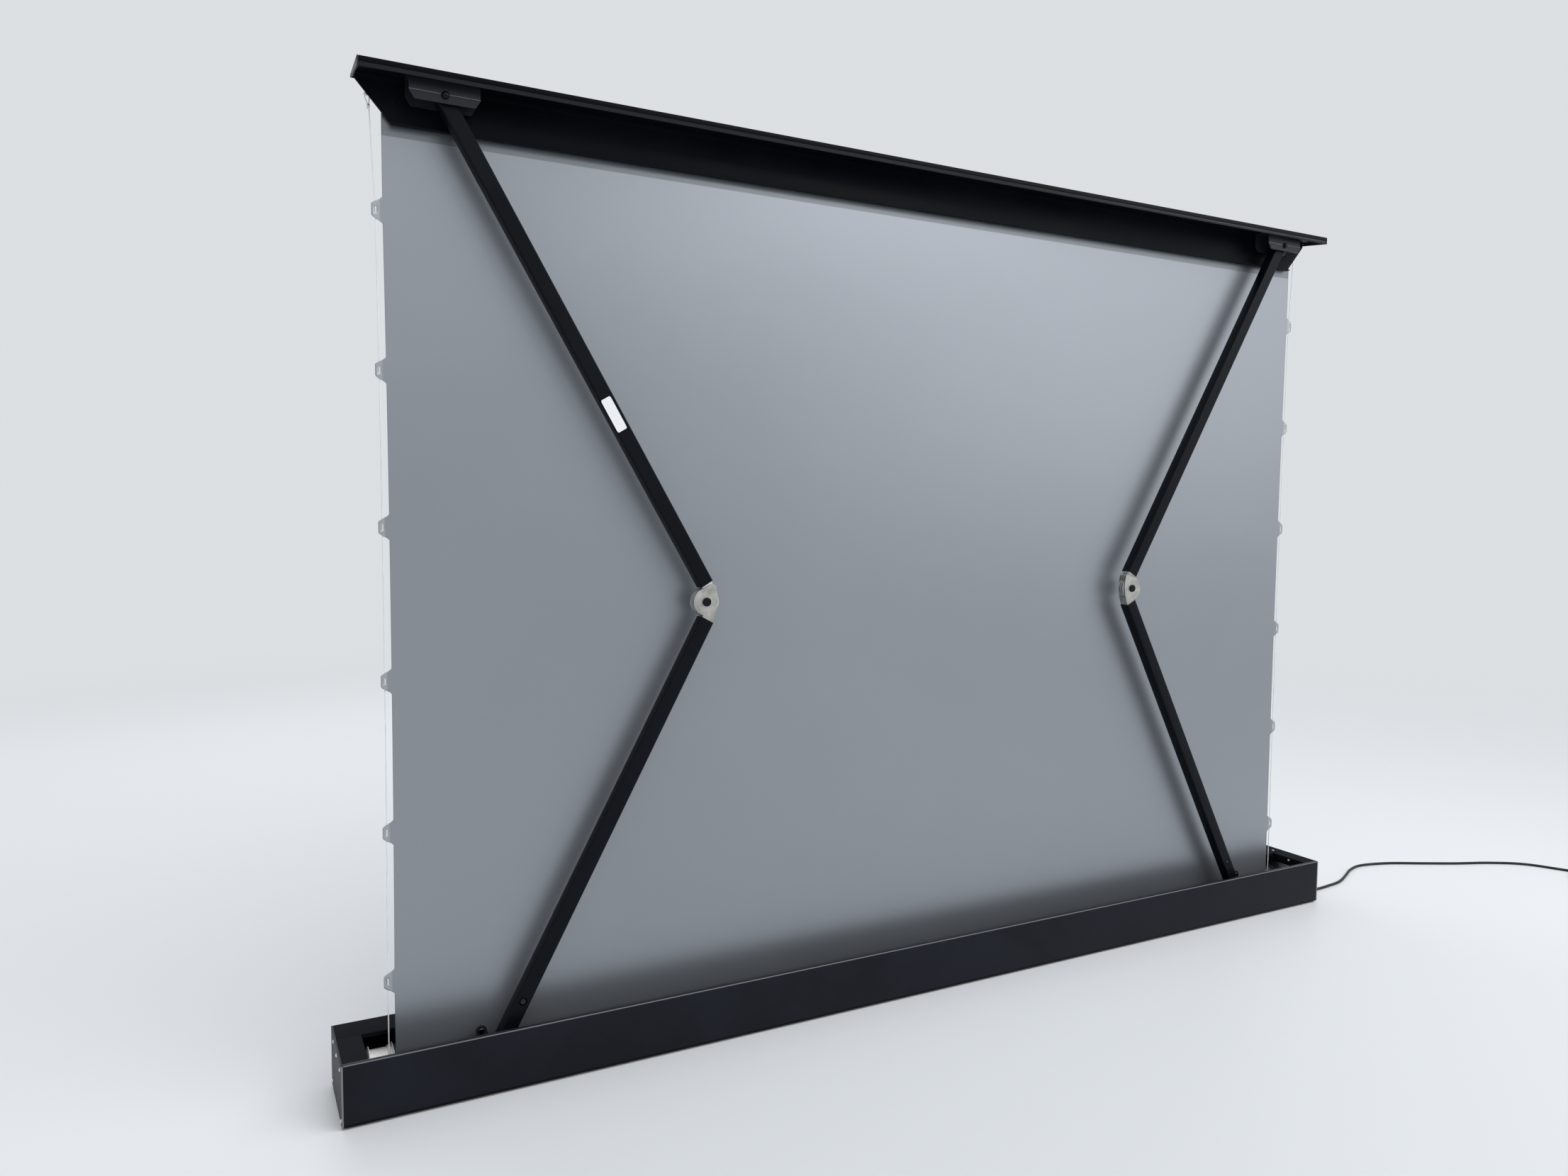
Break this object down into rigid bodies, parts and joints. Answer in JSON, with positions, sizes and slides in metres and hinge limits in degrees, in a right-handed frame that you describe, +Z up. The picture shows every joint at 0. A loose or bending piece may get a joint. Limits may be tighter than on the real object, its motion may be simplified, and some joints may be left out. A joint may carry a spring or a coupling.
{
  "type": "motorized floor-rising projection screen",
  "caption": "Projection screen that rises from a long floor casing: a motor roller pays out tab-tensioned fabric and two jointed arms lift its lid.",
  "frame": {"origin": "middle of the casing's footprint, on the floor", "axes": "+X along the casing to the viewer's right, -Y towards the viewer of the picture side, +Z up"},
  "size_m": [3.4874, 0.5133, 1.7679],
  "materials": {
    "casing": "satin black powder coat",
    "arm": "satin black paint",
    "bracket": "satin black paint",
    "lid_cap": "matte grey",
    "knuckle": "brushed",
    "zinc": "zinc plated",
    "nylon": "satin white",
    "fabric": "coated cloth, grey back, pale front",
    "tension_cord": "clear sheath",
    "aluminium": "mill finish",
    "plastic": "matte black",
    "rubber": "matte black",
    "spring": "bare",
    "window": "dark red tinted"
  },
  "bodies": {
    "base": {"base_rear_profile": "casing", "base_front_profile": "casing", "base_bottom_tray": "casing", "receiver_window": "window", "front_foot_strip": "rubber", "rear_foot_strip": "rubber", "left_end_cap": "casing", "right_end_cap": "casing", "left_top_cover": "casing", "right_top_cover": "casing", "tubular_motor": "plastic", "idler_pin": "zinc", "left_roller_bracket": "zinc", "right_roller_bracket": "zinc", "control_box": "plastic", "left_arm_bracket": "bracket", "right_arm_bracket": "bracket", "left_base_pivot": "zinc", "right_base_pivot": "zinc", "left_lug_bolt": "zinc", "right_lug_bolt": "zinc", "screen_fabric": "fabric", "left_tension_cord": "tension_cord", "right_tension_cord": "tension_cord", "cable_gland": "rubber", "power_cord": "rubber", "power_cord_coil": "rubber", "cord_tie": "rubber", "power_plug": "rubber"},
    "roller": {"roller_tube": "aluminium", "wound_fabric": "fabric", "left_cord_drum": "nylon", "right_cord_drum": "nylon", "drive_wheel": "nylon"},
    "lid": {"lid_profile": "casing", "left_lid_cap": "lid_cap", "right_lid_cap": "lid_cap", "left_lid_bracket": "bracket", "right_lid_bracket": "bracket", "left_lid_pivot": "bracket", "right_lid_pivot": "bracket", "fabric_bar": "casing", "fabric_clamp": "casing", "left_cord_peg": "zinc", "right_cord_peg": "zinc"},
    "right_lower_arm": {"right_lower_tube": "arm", "right_lower_knuckle": "knuckle", "right_knee_pin": "plastic", "right_anchor_bolt": "bracket", "right_lift_spring": "spring"},
    "right_upper_arm": {"right_upper_tube": "arm", "right_upper_knuckle": "knuckle"},
    "left_lower_arm": {"left_lower_tube": "arm", "left_lower_knuckle": "knuckle", "left_knee_pin": "plastic", "left_anchor_bolt": "bracket", "left_lift_spring": "spring"},
    "left_upper_arm": {"left_upper_tube": "arm", "left_upper_knuckle": "knuckle"}
  },
  "joints": [
    {"name": "right_arm_fold", "type": "hinge", "parent": "base", "child": "right_lower_arm", "pos_m": [0.9758, 0.0378, 0.0418], "axis": [0, -1, 0], "range_deg": [0, 62.06], "deforming": ["screen_fabric", "left_tension_cord", "right_tension_cord"]},
    {"name": "right_knee", "type": "hinge", "parent": "right_lower_arm", "child": "right_upper_arm", "pos_m": [0.55743, 0.0378, 0.86831], "axis": [0, 1, 0], "range_deg": [-0.02, 121.86]},
    {"name": "lid_level", "type": "hinge", "parent": "right_upper_arm", "child": "lid", "pos_m": [1.04116, 0.0378, 1.73405], "axis": [0, -1, 0], "range_deg": [-0.02, 59.8]},
    {"name": "left_arm_fold", "type": "hinge", "parent": "base", "child": "left_lower_arm", "pos_m": [-0.9758, 0.0378, 0.0418], "axis": [0, 1, 0], "range_deg": [-0.02, 62.08]},
    {"name": "left_knee", "type": "hinge", "parent": "left_lower_arm", "child": "left_upper_arm", "pos_m": [-0.55743, 0.0378, 0.86831], "axis": [0, -1, 0], "range_deg": [-0.02, 121.86]},
    {"name": "roller_spin", "type": "hinge", "parent": "base", "child": "roller", "pos_m": [0, -0.0307, 0.05], "axis": [-1, 0, 0], "range_deg": [-0.02, 3360]}
  ],
  "couplings": [
    {"joint": "right_knee", "follows": "right_arm_fold", "ratio": 1.9634},
    {"joint": "lid_level", "follows": "right_arm_fold", "ratio": 0.96336},
    {"joint": "left_arm_fold", "follows": "right_arm_fold", "ratio": 1},
    {"joint": "left_knee", "follows": "right_arm_fold", "ratio": 1.9634},
    {"joint": "roller_spin", "follows": "right_arm_fold", "ratio": 54.054}
  ]
}
